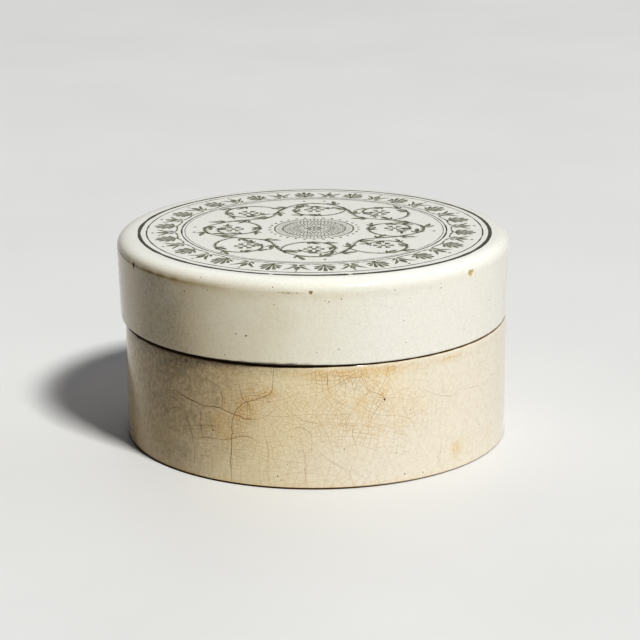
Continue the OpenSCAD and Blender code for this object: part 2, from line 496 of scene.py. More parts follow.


# %% [markdown]
# ## Old cracks
# A few old cracks run far across the pot. Each has its own depth, and its points are listed,
# as (degrees, height). A smooth curve is drawn through them: Catmull and Rom's rule gives
# each stretch the slope of the line between its neighbours.

# %% Old cracks
CRACK_STEP = 0.30
OLD_CRACKS = [
    (1.0, [(-45.4, 17.7), (-40.9, 16.9), (-38.5, 16.5), (-34.4, 16.0), (-29.2, 16.1), (-24.0, 15.2),
           (-19.8, 14.5), (-17, 14.6)]),
    (0.5, [(-17.3, 14.6), (-15.0, 15.2), (-13, 16.2), (-10.5, 18.2)]),
    (0.8, [(-12, 26.2), (-12.3, 22.4), (-13.2, 20.2), (-17.7, 18.8), (-21.3, 17.7), (-23.4, 15.9),
           (-24.6, 13.4), (-24.8, 9.0), (-25.2, 4.5), (-25.0, 0.5)]),
    (0.7, [(-41.2, 16.9), (-41.1, 14.5), (-40.6, 12.7), (-38.8, 9.7), (-37.7, 6.0), (-37.9, 2.0)]),
    (0.42, [(-9.8, 19.8), (-6.4, 16.2), (-1.0, 14.4), (8, 13.8), (15, 13.2), (22, 11.4),
            (29, 9.6)]),
    (0.5, [(3.0, 25.8), (3.6, 21.4), (5.6, 19.2), (9.0, 17.6), (13, 16.4)]),
    (0.45, [(12.0, 25.6), (14.8, 21.0), (19.2, 19.2), (16.4, 15.6), (14.8, 12.6)]),
    (0.45, [(8.2, 11.6), (9.0, 15.2), (12.2, 18.6), (17.4, 22.4)]),
    (0.5, [(34.2, 18.6), (37.9, 17.3), (42.6, 16.6), (45.5, 17.3), (50.2, 16.9), (56.5, 16.5),
           (60.8, 16.4), (63.2, 17.1), (67.5, 16.7)]),
    (0.4, [(38.3, 7.4), (38.6, 5.0), (38.2, 3.0), (38.9, 0.6)]),
    (0.3, [(55.2, 24.8), (55.6, 20.0), (55.0, 17.0)]),
    (0.45, [(-5.4, 12.4), (-3.8, 9.2), (-3.0, 5.0), (-3.4, 0.6)]),
    (0.7, [(-37.6, 8.0), (-33.0, 9.2), (-27.0, 9.4), (-20.6, 10.8), (-16.0, 9.8)]),
    (0.4, [(-1.0, 9.8), (3.0, 6.6), (7.0, 4.6), (9.0, 3.4)]),
    (0.5, [(-8.0, 12.9), (-4.6, 13.4), (-1.6, 12.0), (-1.4, 8.4), (-2.6, 6.6)]),
    (0.4, [(-14.5, 11.8), (-13.8, 8.0), (-14.2, 4.0), (-13.6, 0.6)]),
    (0.6, [(-50.0, 11.6), (-45.2, 14.0), (-41.3, 13.7), (-38.1, 14.4)]),
    (0.6, [(-34.9, 16.0), (-35.2, 11.8), (-34.2, 9.0)]),
    (0.6, [(-34.5, 23.0), (-32.3, 21.7), (-29.9, 21.0), (-28.0, 19.8), (-27.5, 16.0)]),
    (0.7, [(-22.6, 23.0), (-21.9, 20.6), (-21.2, 18.8), (-19.4, 17.6), (-18.6, 14.6)]),
    (0.5, [(-39.9, 10.9), (-36.4, 11.3), (-31.9, 12.0), (-28.5, 11.6)]),
    (0.5, [(-49.7, 15.3), (-50.1, 11.9), (-52.5, 9.8)]),
    (0.6, [(-61, 25.8), (-62, 19.0), (-60.4, 12.0), (-62, 6.0), (-61.2, 0.8)]),
    (0.8, [(-142, 26.0), (-139, 20.0), (-144, 13.0), (-138, 7.0), (-140, 0.6)]),
    (0.7, [(96, 26.0), (93, 18.0), (97, 11.0), (103, 8.0), (112, 9.0)]),
    (0.8, [(170, 19.0), (178, 16.0), (190, 15.0), (202, 12.0), (214, 12.6)]),
    (0.6, [(130, 25.8), (133, 20.0), (129, 14.0), (131, 8.0), (127, 0.6)]),
]


def smooth_line(knots, step):
    """A curve through knots by Catmull and Rom's rule, as points about step apart."""
    knots = np.asarray(knots, float)
    padded = np.concatenate([2 * knots[:1] - knots[1:2], knots, 2 * knots[-1:] - knots[-2:-1]])
    lengths = np.linalg.norm(np.diff(knots, axis=0), axis=1)
    where = np.concatenate([i + np.linspace(0, 1, int(length / step) + 2)[:-1]
                            for i, length in enumerate(lengths)] + [[len(lengths)]])
    i = np.minimum(where.astype(int), len(lengths) - 1)
    t = (where - i)[:, None]
    a, b, c, d = (padded[i + k] for k in range(4))
    return 0.5 * (2 * b + (c - a) * t + (2 * a - 5 * b + 4 * c - d) * t**2
                  + (3 * b - a - 3 * c + d) * t**3)


def old_crack(knots, seed):
    """An old crack on the unrolled wall, in mm, with the small jitter of a real one."""
    line = smooth_line([(np.radians(a) * POT_R, z) for a, z in knots], CRACK_STEP)
    jitter = np.random.default_rng(seed).normal(0, 0.07, line.shape)
    jitter[[0, -1]] = 0
    return line + (jitter + np.roll(jitter, 1, axis=0)) / 2


old = [old_crack(knots, seed) for seed, (_, knots) in enumerate(OLD_CRACKS)]
print(f"old cracks: {len(old)}, longest {max(map(len, old)) * CRACK_STEP:.0f} mm")

# %% [markdown]
# ## How a glaze crazes
# Glaze and clay shrink by different amounts, so the glaze tears into cells. A wide cell tears
# across its middle, square to its longest way, and the new crack ends where it meets an older
# one. Doing just that, again and again until every cell is small enough, gives the right look:
# old cracks run long, young ones are short and meet them at right angles. A texture of plain
# cells can't do that, since its edges meet in threes. Near an old crack the young ones turn to
# run along it or square to it; far from any, they run upright or level, as the wall was turned.

# %% Tear a glaze into cells
def area_of(cell):
    """The area inside a closed line, by the sum of its cross products."""
    x, y = cell.T
    return abs(x @ np.roll(y, -1) - y @ np.roll(x, -1)) / 2


def leaning(place, angle, grain):
    """Turns a crack's angle towards the nearest old crack, or square to it, by the nearness."""
    spots, headings = grain
    away = np.hypot(*(spots - place).T)
    near = np.exp(-(away.min() / 4.0) ** 2)
    for heading, pull in ((0.0, 0.5 * (1 - near)), (headings[away.argmin()], near)):
        angle -= pull * ((angle - heading + np.pi / 4) % (np.pi / 2) - np.pi / 4)
    return angle


def tear(cell, random, step, grain):
    """Tears a cell in two. The crack runs across the middle, square to the cell's longest way, and
    wanders: n = bend * sin(wave * t + phase). Where it leaves a bent cell and comes back, only its
    longest stretch inside is torn. Returns the crack and both cells."""
    middle = cell.mean(0)
    _, axes = np.linalg.eigh((cell - middle).T @ (cell - middle))
    angle = leaning(middle, np.arctan2(*axes[::-1, 0]), grain) + random.normal(0, 0.15)
    across = direction(angle)
    normal = turned_left(across)
    middle = middle + normal * np.ptp((cell - middle) @ normal) * random.uniform(-0.14, 0.14)
    t = (cell - middle) @ across
    bend, phase = min(np.ptp(t), 9) * random.uniform(-0.075, 0.075), random.uniform(0, 2 * np.pi)
    wave = 2 * np.pi * random.uniform(0.5, 1.1) / min(np.ptp(t), 9)
    off = (cell - middle) @ normal - bend * (np.sin(wave * t + phase) - np.sin(phase))
    crossed = np.nonzero((off > 0) != (np.roll(off, -1) > 0))[0]
    after = (crossed + 1) % len(cell)
    share = (off[crossed] / (off[crossed] - off[after]))[:, None]
    ends = cell[crossed] + share * (cell[after] - cell[crossed])
    reach = (ends - middle) @ across
    order = reach.argsort()
    first = 2 * np.diff(reach[order])[::2].argmax()
    pick = np.sort(order[first:first + 2])
    crossed, ends, reach = crossed[pick], ends[pick], reach[pick]
    line_t = np.linspace(*reach, max(3, int(abs(reach[1] - reach[0]) / step) + 2))
    bow = bend * (np.sin(wave * line_t + phase) - np.sin(phase))
    crack = middle + np.outer(line_t, across) + np.outer(bow, normal)
    crack[0], crack[-1] = ends
    i, j = crossed
    return (crack, np.concatenate([cell[i + 1:j + 1], crack[::-1]]),
            np.concatenate([cell[j + 1:], cell[:i + 1], crack]))


def craze(cell, wanted, seed, step, grain):
    """Tears a cell again and again until each one is under the area that wanted(middle) gives.
    Returns the cracks and, for each, the area of the cell that it tore."""
    random = np.random.default_rng(seed)
    cracks, areas, waiting = [], [], [cell]
    while waiting:
        cell = waiting.pop()
        area = area_of(cell)
        if area < wanted(cell.mean(0)) * random.uniform(0.7, 1.5):
            continue
        crack, *halves = tear(cell, random, step, grain)
        cracks.append(crack)
        areas.append(area)
        waiting += halves
    return cracks, np.array(areas)


def unrolled(low, high, step):
    """A wall as one closed cell, from low to high. It starts and ends at a wandering crack at
    the back, which is returned as well."""
    climb = np.linspace(low, high, int((high - low) / step))
    wander = 1.6 * np.sin(0.21 * climb + 0.4) + 0.5 * np.sin(0.7 * climb)
    left = np.stack([wander - STRIP / 2, climb], 1)
    right = np.stack([wander + STRIP / 2, climb], 1)
    count = int(STRIP / step)
    return np.concatenate([right, between(right[-1], left[-1], count), left[::-1],
                           between(left[0], right[0], count)]), left


# %% [markdown]
# ### The pot's crazing
# Where the net is fine, the cells are less than a millimetre wide; on clean glaze they are
# about two. The net and the old cracks lie on the same unrolled wall.

# %% The pot's crazing
CLEAN_CELL = 5.5


def fine_net(around, height):
    """Where the net is fine, from 0 to 1."""
    return np.clip(soft_spots(around, height, FINE_SPOTS), 0, 1)


def pot_cell_area(place):
    """Area in square millimetres at which a cell of the pot's glaze stops tearing."""
    around, height = place[0] / POT_R, place[1]
    return CLEAN_CELL * np.exp(-1.8 * fine_net(around, height) - 0.3 * tan_stain(around, height))


ways = [np.gradient(line, axis=0) for line in old]
pot_grain = (np.concatenate(old),
             np.concatenate([np.arctan2(way[:, 1], way[:, 0]) for way in ways]))
wall_cell, back_crack = unrolled(0.1, LEDGE_Z + 0.1, CRACK_STEP)
net, net_areas = craze(wall_cell, pot_cell_area, 11, CRACK_STEP, pot_grain)
net.append(back_crack)
net_areas = np.append(net_areas, net_areas.max())
print(f"crazing: {len(net)} cracks, {sum(map(len, net))} points")

# %% [markdown]
# ## Glazes, stain and ink
# A glaze is coloured glass over clay: the clay gives the colour and the glass the shine. One
# rule builds the colour of each glaze, and its cracks use the same rule before they darken it, so
# a faint crack really is the glaze's own colour with a little stain in it. All patterns sit on
# Object coordinates, which stay put on the piece, or on numbers painted on its points.

# %% Helpers for finishes
def plug(tree, node, **inputs):
    """Puts numbers or links on a node's inputs. An input is given by its name, with underscores
    for spaces, or by an underscore and its number."""
    for name, value in inputs.items():
        socket = node.inputs[int(name[1:]) if name[0] == "_" else name.replace("_", " ")]
        if isinstance(value, bpy.types.NodeSocket):
            tree.links.new(value, socket)
        else:
            socket.default_value = value


def add_node(tree, kind, settings=None, **inputs):
    """A node of a kind, with settings on it and numbers or links on its inputs."""
    node = tree.nodes.new(kind)
    for name, value in (settings or {}).items():
        setattr(node, name, value)
    plug(tree, node, **inputs)
    return node


def mixed(tree, share, first, second):
    """The colour between two, by a share."""
    return add_node(tree, "ShaderNodeMix", {"data_type": "RGBA"},
                    _0=share, _6=first, _7=second).outputs[2]


def maths(tree, operation, a, b):
    """A sum, product or other result of two numbers."""
    return add_node(tree, "ShaderNodeMath", {"operation": operation}, _0=a, _1=b).outputs[0]


def ranged(tree, value, low, high, to_low=0.0, to_high=1.0):
    """A value stretched from low..high to to_low..to_high, and held there."""
    return add_node(tree, "ShaderNodeMapRange", Value=value, From_Min=low, From_Max=high,
                    To_Min=to_low, To_Max=to_high).outputs[0]


def noise(tree, place, scale, detail=3.0):
    """Cloudy noise from 0 to 1, with scale in clouds per metre."""
    return add_node(tree, "ShaderNodeTexNoise", Vector=place, Scale=scale, Detail=detail,
                    Roughness=0.55).outputs[0]


def across(tree, place):
    """The way across the piece from left to right in metres, bent a little by clouds."""
    x = add_node(tree, "ShaderNodeSeparateXYZ", Vector=place).outputs[0]
    bent = ranged(tree, noise(tree, place, 60), 0.3, 0.7, -0.006, 0.006)
    return maths(tree, "ADD", x, bent)


def painted(tree, name):
    """The number painted on the points under this name."""
    return add_node(tree, "ShaderNodeAttribute", {"attribute_name": name}).outputs["Fac"]


def grainy(tree, place, name, scale, least, most):
    """The number painted under a name, times a fine grain from least to most."""
    grain = ranged(tree, noise(tree, place, scale, 4), 0.3, 0.7, least, most)
    return maths(tree, "MULTIPLY", painted(tree, name), grain)


def new_finish(name):
    """An empty material: its node tree, its shader and its Object coordinates."""
    material = bpy.data.materials.new(name)
    material.use_nodes = True
    tree = material.node_tree
    shader = tree.nodes["Principled BSDF"]
    plug(tree, shader, IOR=1.52)
    place = add_node(tree, "ShaderNodeTexCoord").outputs["Object"]
    return material, tree, shader, place


def glaze(name, colour_rule, wave_scale, dull):
    """A glossy glaze: its colour from a rule, its shine a little uneven, its surface faintly
    waved, and dull where the number painted under the name dull is 1."""
    material, tree, shader, place = new_finish(name)
    gloss = ranged(tree, noise(tree, place, 160), 0.3, 0.7, 0.06, 0.16)
    dulled = maths(tree, "MULTIPLY", painted(tree, dull), 0.7)
    waves = add_node(tree, "ShaderNodeBump", Strength=0.3, Distance=0.0001,
                     Height=noise(tree, place, wave_scale, 2))
    plug(tree, shader, Base_Color=colour_rule(tree, place),
         Roughness=maths(tree, "MAXIMUM", gloss, dulled),
         Specular_IOR_Level=ranged(tree, painted(tree, dull), 0, 1, 0.5, 0.08),
         Normal=waves.outputs[0])
    return material


def crack_stain(name, colour_rule, stain):
    """The glaze's colour, stained by the depth painted on each crack."""
    material, tree, shader, place = new_finish(name)
    colour = mixed(tree, painted(tree, "depth"), colour_rule(tree, place), stain(tree))
    plug(tree, shader, Base_Color=colour, Roughness=0.15)
    return material


# %% [markdown]
# ### Pot glaze
# A lead glaze over cream clay, warmer and duller than the lid's because this half took the wear.
# It runs from a brownish cream on the left to a pale one on the right, partly painted shade on
# the left, away from the light, and painted light on the right. Painted shade with a dirty grain
# darkens the left side, painted stain turns it ochre, painted smoke greys it, and grime with
# painted shade blackens the joint and the foot.

# %% Pot glaze
BROWN_CREAM, CREAM = (0.60, 0.46, 0.27, 1), (0.735, 0.64, 0.45, 1)
PALE_CREAM, DIM_CREAM = (0.70, 0.648, 0.56, 1), (0.45, 0.35, 0.20, 1)
OLIVE, RUSTY = (0.30, 0.265, 0.12, 1), (0.40, 0.235, 0.10, 1)
OCHRE, SMOKE, SOIL_AND_SHADE = (0.62, 0.43, 0.19, 1), (0.25, 0.205, 0.12, 1), (0.06, 0.035, 0.012, 1)
# colours of the joint and foot lines: grime and painted shade
THIN_GRIME_AND_SHADE, GRIME_AND_SHADE = (0.20, 0.115, 0.03, 1), (0.040, 0.022, 0.007, 1)
CRACK_TAN, CRACK_RED = (0.27, 0.165, 0.065, 1), (0.36, 0.20, 0.075, 1)
CRACK_SOIL_AND_SHADE = (0.06, 0.032, 0.014, 1)


def pot_colour(tree, place):
    """Cream from brownish to pale across the pot, partly painted shade on the left and painted
    light on the right, a little paler low down, with clouds and with dim, olive and rusty flecks,
    most at the left; then painted shade with a dirty grain, smoke, stain, and grime with painted
    shade."""
    z = add_node(tree, "ShaderNodeSeparateXYZ", Vector=place).outputs[2]
    side = maths(tree, "ADD", across(tree, place), ranged(tree, z, 0.002, 0.018, 0.014, 0))
    # brownish on the left: partly painted shade, away from the light
    colour = mixed(tree, ranged(tree, side, -0.026, -0.007), BROWN_CREAM, CREAM)
    # paler on the right: partly painted light, towards the light
    colour = mixed(tree, ranged(tree, side, -0.002, 0.025), colour, PALE_CREAM)
    clouds = ranged(tree, noise(tree, place, 90, 4), 0.45, 0.7, 0, 0.25)
    colour = mixed(tree, clouds, colour, PALE_CREAM)
    for scale, low, deep, fleck in ((420, 0.38, 0.32, DIM_CREAM), (2300, 0.35, 0.55, DIM_CREAM),
                                    (900, 0.47, 0.72, OLIVE), (1700, 0.48, 0.80, RUSTY)):
        share = ranged(tree, noise(tree, place, scale, 4), low, 0.78, 0, deep)
        share = maths(tree, "MULTIPLY", share, ranged(tree, side, -0.029, -0.008, 1, 0.2))
        share = maths(tree, "MULTIPLY", share, ranged(tree, side, -0.044, -0.032, 0.4, 1))
        colour = mixed(tree, share, colour, fleck)
    # painted shade on the left side, away from the light, with a dirty grain
    colour = mixed(tree, grainy(tree, place, "soil", 1500, 0.35, 1.65), colour, SOIL_AND_SHADE)
    colour = mixed(tree, grainy(tree, place, "smoke", 900, 0.05, 1.2), colour, SMOKE)
    colour = mixed(tree, grainy(tree, place, "stain", 1300, 0.3, 1.0), colour, OCHRE)
    # grime in the joint, and painted shade at the joint and at the foot
    return grime_and_shade_over(tree, colour, THIN_GRIME_AND_SHADE, GRIME_AND_SHADE)


def grime_and_shade_over(tree, colour, thin, thick):
    """Painted grime, which on the pot is also painted shade in the joint and at the foot, over a
    colour: where it is thin, one colour, and where it is thick, another.
    """
    grime = painted(tree, "grime")
    colour = mixed(tree, maths(tree, "MULTIPLY", grime, 1.8), colour, thin)
    return mixed(tree, maths(tree, "POWER", grime, 1.6), colour, thick)


def pot_crack_stain(tree):
    """Grey-brown on clean glaze, reddish brown in a tan patch, and nearly black in the painted
    shade on the left side.
    """
    stain = mixed(tree, painted(tree, "stain"), CRACK_TAN, CRACK_RED)
    # the cracks go nearly black in the painted shade on the left side
    return mixed(tree, maths(tree, "MULTIPLY", painted(tree, "soil"), 4.0), stain, CRACK_SOIL_AND_SHADE)


POT_GLAZE = glaze("pot_glaze", pot_colour, 300, "grime")
POT_CRACK = crack_stain("pot_crack", pot_colour, pot_crack_stain)

# %% [markdown]
# ### Lid glaze
# The lid is whiter than the pot, and its top, which was wiped clean, is the whitest of all. Its
# wall runs from warm on the left to pale on the right, partly painted shade and painted light, and
# painted shade with a dirty grain darkens its left side. Grime sits along the worn shoulder, grime
# and painted shade under the rim, and the chips show bare clay, or the rust of iron where a pit
# burst.

# %% Lid glaze
LID_WARM, LID_IVORY = (0.64, 0.56, 0.41, 1), (0.72, 0.685, 0.575, 1)
LID_PALE, LID_WHITE = (0.71, 0.69, 0.63, 1), (0.725, 0.717, 0.666, 1)
LID_TAN, LID_GRIME_AND_SHADE = (0.44, 0.33, 0.15, 1), (0.12, 0.08, 0.032, 1)
BARE_CLAY, RUST = (0.52, 0.40, 0.205, 1), (0.13, 0.075, 0.025, 1)
LID_CRACK_TAN = (0.28, 0.23, 0.14, 1)


def lid_colour(tree, place):
    """Ivory from warm to pale across the wall, partly painted shade on the left and painted light
    on the right, darkened at the left by painted shade with a dirty grain, and white on the top,
    which was rubbed clean; then fine grain, grime, black grime with painted shade under the rim,
    and clay and rust in the chips."""
    side = across(tree, place)
    # warm on the left: partly painted shade, away from the light
    colour = mixed(tree, ranged(tree, side, -0.024, -0.006), LID_WARM, LID_IVORY)
    # pale on the right: painted light
    colour = mixed(tree, ranged(tree, side, 0.000, 0.016), colour, LID_PALE)
    clouds = ranged(tree, noise(tree, place, 80, 4), 0.4, 0.7, 0, 0.30)
    colour = mixed(tree, clouds, colour, LID_PALE)
    # painted shade on the left of the lid's wall, with a dirty grain
    colour = mixed(tree, grainy(tree, place, "soil", 1600, 0.6, 1.4), colour, LID_GRIME_AND_SHADE)
    z = add_node(tree, "ShaderNodeSeparateXYZ", Vector=place).outputs[2]
    colour = mixed(tree, ranged(tree, z, 0.0420, 0.0446), colour, LID_WHITE)
    fine = ranged(tree, noise(tree, place, 2000), 0.35, 0.75, 0, 0.10)
    colour = grime_and_shade_over(tree, mixed(tree, fine, colour, LID_GRIME_AND_SHADE), LID_TAN, LID_GRIME_AND_SHADE)
    # black under the rim: grime and painted shade of the gap
    colour = mixed(tree, painted(tree, "rim"), colour, GRIME_AND_SHADE)
    clay = mixed(tree, painted(tree, "rust"), BARE_CLAY, RUST)
    return mixed(tree, painted(tree, "chip"), colour, clay)


def lid_crack_stain(tree):
    """One grey-brown for all."""
    return mixed(tree, 0.5, LID_GRIME_AND_SHADE, LID_CRACK_TAN)


LID_GLAZE = glaze("lid_glaze", lid_colour, 260, "chip")
LID_CRACK = crack_stain("lid_crack", lid_colour, lid_crack_stain)

# %% [markdown]
# ### Ink and specks
# A transfer print is laid on before the glaze, so the ink is as glossy as the rest. It isn't
# quite black, and inside the rings it is thinner still, so that the white shows through. Specks
# are grains of iron in the clay that bled brown.

# %% Ink and specks
def clouded(name, dark, light, scale, low, high, shine=0.5):
    """A glossy finish between two colours, by cloudy noise."""
    material, tree, shader, place = new_finish(name)
    share = ranged(tree, noise(tree, place, scale, 4), low, high)
    plug(tree, shader, Base_Color=mixed(tree, share, dark, light), Roughness=0.12,
         Specular_IOR_Level=shine)
    return material


INK_SHINE = 0.36
PRINT_INK = clouded("print_ink", (0.022, 0.021, 0.006, 1), (0.15, 0.145, 0.085, 1),
                    900, 0.50, 0.85, INK_SHINE)
THIN_INK = clouded("thin_ink", (0.050, 0.046, 0.018, 1), (0.34, 0.33, 0.23, 1),
                   1100, 0.40, 0.72, INK_SHINE)
IRON = clouded("iron", (0.035, 0.022, 0.012, 1), (0.30, 0.19, 0.09, 1), 260, 0.35, 0.65)

# %% [markdown]
# ## The pot
# Only the wall needs many rows, because the stains are painted on its points. The joint under
# the lid holds a dark line, partly grime and partly painted shade, wider on the left, where it also
# paints the shadow of the loose lid's overhang.

# %% Pot body
POT_COLUMNS = 490
BLEED_CELL = 0.25
LEDGE_THIN_R, LEDGE_FADE = 38.5, 2.4


def crack_bleed(around, height):
    """Stain that has crept out of the cracks: crack points counted on a fine grid, blurred by
    two running means each way, and read back at the wall's points."""
    bins = (int(STRIP / BLEED_CELL), int(LEDGE_Z / BLEED_CELL))
    spots = np.concatenate(net + old)
    count = np.histogram2d((spots[:, 0] + STRIP / 2) % STRIP, spots[:, 1], bins=bins,
                           range=[(0, STRIP), (0, LEDGE_Z)])[0]
    for _ in range(2):
        count = (np.roll(count, 1, 0) + count + np.roll(count, -1, 0)) / 3
        count[:, 1:-1] = (count[:, :-2] + count[:, 1:-1] + count[:, 2:]) / 3
    x = ((around * POT_R + STRIP / 2) % STRIP / STRIP * bins[0]).astype(int) % bins[0]
    z = np.clip(height / LEDGE_Z * bins[1], 0, bins[1] - 1).astype(int)
    return count[x, z]


def joint_grime_and_shade(around, radius, height):
    """The dark line in the joint, which thins out over the ledge towards the neck, and the one
    where the foot meets the table. The joint's line is partly grime and partly painted shade: at
    the left it widens over the painted shadow under the overhanging lid. The foot's line is a
    painted contact shadow in grime's brown. Both are wider at the left and paler at the right,
    where the light falls."""
    side = np.sin(around)
    # at the left the line widens to paint the shadow under the overhanging lid
    deep = 0.38 - 0.14 * np.clip(side, 0, 1)**0.6 - 0.82 * np.clip(side, -1, 0)
    deep += (0.040 - 0.025 * side) * soft_noise(around, 0 * height, 4.0, 17)
    line = np.clip((height - LEDGE_Z + deep) / (0.20 - 0.10 * side), 0, 1)
    inward = np.clip((radius - LEDGE_THIN_R) / LEDGE_FADE, 0.25, 1)
    # the foot line: painted contact shadow where the wall meets the table
    foot = np.clip((0.38 - 0.17 * side - height) / 0.12, 0, 1) * (radius > POT_R - HEEL_ROUND)
    paler = np.clip(side, 0, 1)
    dark = np.maximum(line * inward * (0.98 - 0.60 * paler**2), foot * (0.93 - 0.32 * paler))
    return np.where(height < LEDGE_Z + 0.05, dark, 0)


def paint_pot(mesh, points, washed):
    """Paints stain, smoke, painted shade with a dirty grain, and grime with painted shade on the
    outer wall. Washed stain is soft, deeper along the cracks and in the runs of paste; the cracks
    themselves take the full stain."""
    around, radius, height = polar_of(points)
    outside = (radius > NECK_R + 1) & (height < LEDGE_Z + 0.1)
    stain = tan_stain(around, height)
    if washed:
        runs = soft_spots(around, height, RUN_SPOTS)
        stain = np.clip(stain * (0.26 + 0.6 * crack_bleed(around, height)) + runs, 0, 0.8)
    # painted shade under the lid's overhang at the left, fading down the wall
    shade_under_lid = 0.95 * np.exp((height - LEDGE_Z) / 1.5) * np.clip(0.12 - np.sin(around), 0.05, 1)
    # painted shade on the left side, darker towards the top
    soil = soil_and_shade_film(around, height, -46, 12.3) * (0.42 + 0.0235 * height) + shade_under_lid
    for name, values in (("stain", stain), ("smoke", 0.85 * smoke_stain(around, height)),
                         ("soil", soil), ("grime", joint_grime_and_shade(around, radius, height))):
        paint(mesh, name, np.where(outside, values, 0))


points, faces = turned(pot_outline(), np.linspace(0, 2 * np.pi, POT_COLUMNS, endpoint=False))
pot_mesh = fill_mesh("pot_body", squeezed(points, POT_PHASE), faces, True)
paint_pot(pot_mesh, points, True)
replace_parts(add_piece(pot_mesh, "pot", POT_GLAZE), "pot")

# %% [markdown]
# The cracks go on the same wall by its laying rule. An old crack tore a wide cell, so its width
# and depth follow the area that it tore. They show most where there is stain to fill them. Half
# the points of the fine net are enough to draw it.

# %% Cracks on the pot
CRACK_HIGH = 0.003


def per_point(lines, values):
    """One value per line, spread to the four corners at each of the line's points."""
    return np.repeat(np.concatenate([np.full(len(line), v) for line, v in zip(lines, values)]), 4)


def age_of(areas, youngest, span):
    """How old each crack is, from 0 to 1, by the area that it tore: on a log scale, from the
    youngest crack's area to span times as much."""
    return np.clip(np.log(areas / youngest) / np.log(span), 0, 1)


def tapered(line, width):
    """A crack's width along it, which shrinks over its last two millimetres."""
    i = np.arange(len(line))
    return width * np.clip((1 + np.minimum(i, i[::-1])) / 8, 0.35, 1)


def pot_cracks(name, lines, widths, depths, uneven, least, faintest):
    """Crack strips on the pot's wall, each painted with the stain under it and with its depth,
    which varies unevenly, shows at least by a share where there is no stain, and fades at the
    clean right side."""
    points, faces = strips(lines, widths, on_pot, CRACK_HIGH)
    mesh = fill_mesh(name, points, faces, False)
    paint_pot(mesh, points, False)
    around, _, height = polar_of(points)
    fade = np.clip(raggedness(around, height, 0.85, (uneven, 7.0, 21)), 0.4, 1.4)
    clean = np.clip(1.25 - 1.1 * np.sin(around), faintest, 1)
    showing = (least + 0.30 * fine_net(around, height)) * clean + 0.6 * tan_stain(around, height)
    paint(mesh, "depth", np.clip(per_point(lines, depths) * fade * showing, 0, 0.95))
    return add_piece(mesh, "pot", POT_CRACK)


age = age_of(net_areas, 0.6, 900)
stained = np.array([tan_stain(x / POT_R, z).mean() for x, z in (line.T for line in net)])
net_widths = 0.048 + 0.03 * age + 0.035 * stained
net_depths = 0.46 + 0.08 * age + 0.14 * stained
thinned = [np.concatenate([line[:-1:2], line[-1:]]) for line in net]
pot_cracks("pot_crazing", thinned, net_widths, net_depths, 0.24, 0.45, 0.35)
old_depths = [depth for depth, _ in OLD_CRACKS]
old_widths = [tapered(line, 0.06 + 0.15 * depth**2) for line, depth in zip(old, old_depths)]
pot_cracks("pot_old_cracks", old, old_widths, old_depths, 0.5, 0.9, 0.8)

# %% [markdown]
# ## The lid
# Two knocks left chips on the shoulder, and iron in the clay burst a few small pits. A chip is a
# shallow shell-shaped dent: its depth falls off from its middle, and its edge wanders with the
# angle. The points are set closer near the chips, so that the dents are real shapes.

# %% Lid shell
CHIPS = [  # degrees from the front, height, half width, half height, depth in mm, rust
    (-62.4, 42.05, 0.50, 0.66, 0.22, 0.85),
    (50.3, 42.0, 0.86, 0.72, 0.26, 0.0),
    (-0.6, 42.2, 0.42, 0.38, 0.12, 0.6),
    (152.0, 43.0, 0.90, 0.60, 0.25, 0.1),
]
LID_COLUMNS = 440


def lid_angles():
    """Even angles round the lid, with closer ones across each chip."""
    even = np.linspace(0, 2 * np.pi, LID_COLUMNS, endpoint=False)
    close = [np.radians(degrees) + np.linspace(-1.5, 1.5, 31) * half_w / EDGE_R
             for degrees, _, half_w, _, _, _ in CHIPS]
    return np.unique(np.concatenate([even, *close]) % (2 * np.pi))


def chip_dents(points):
    """How far inside a chip each point is, how deep it lies there in mm, and how rusty it is."""
    around, radius, height = polar_of(points)
    inside, depth, rust = np.zeros((3, len(points)))
    for degrees, middle, half_w, half_h, deep, rusty in CHIPS:
        x = wrapped(around - np.radians(degrees)) * EDGE_R / half_w
        z = (height - middle) / half_h
        turn = np.arctan2(z, x)
        edge = 1 + 0.22 * np.sin(3 * turn) + 0.07 * np.sin(7 * turn + degrees)
        share = np.clip(1 - (x**2 + z**2) / edge**2, 0, 1) * (radius > SKIRT_R + 0.1)
        rust = np.where(share > inside, rusty, rust)
        inside, depth = np.maximum(inside, share), np.maximum(depth, deep * share**0.6)
    return inside, depth, rust


def lid_grime(around, radius, height):
    """Grime along the worn shoulder at the left: a thin dark line in a soft brown band, which
    fades to the front."""
    worn = soft_spots(around, height, [(-76, 42.2, 13, 2, 0.85), (-52, 42.1, 9, 2, 0.60),
                                       (-6.5, 42.1, 3, 1, 0.25)])
    ragged = np.clip(raggedness(around, height, 0.9, (0.2, 3.0, 31)), 0, 1.2)
    way = np.degrees(around)
    middle = 42.1 + 0.25 * np.clip((-62 - way) / 14, 0, 1.5)
    line = worn * ragged * np.exp(-((height - middle) / 0.17) ** 2)
    band = soft_spots(around, height, [(-60, 42.3, 15, 0.7, 0.26), (-38, 42.0, 9, 0.7, 0.26),
                                       (-5, 41.3, 30, 0.9, 0.08)])
    return np.where(radius > SKIRT_R + 0.1, np.clip(line + band * ragged, 0, 1), 0)


def rim_grime_and_shade(around, height):
    """Black under the lid's rim, partly grime and partly painted shade of the gap above the joint,
    which climbs a few tenths of a millimetre up its round, the highest just left of the front, and
    pales at the right, where the light falls."""
    reach = 0.20 + bumps(np.degrees(around), [(-10, 22, 0.36), (-66, 18, 0.24)])
    reach = reach + 0.02 * soft_noise(around, 0 * height, 4.0, 35)
    dark = 0.97 - 0.65 * np.clip(np.sin(around), 0, 1)**2
    return np.clip((LEDGE_Z + reach - height) / 0.12, 0, 1) * dark


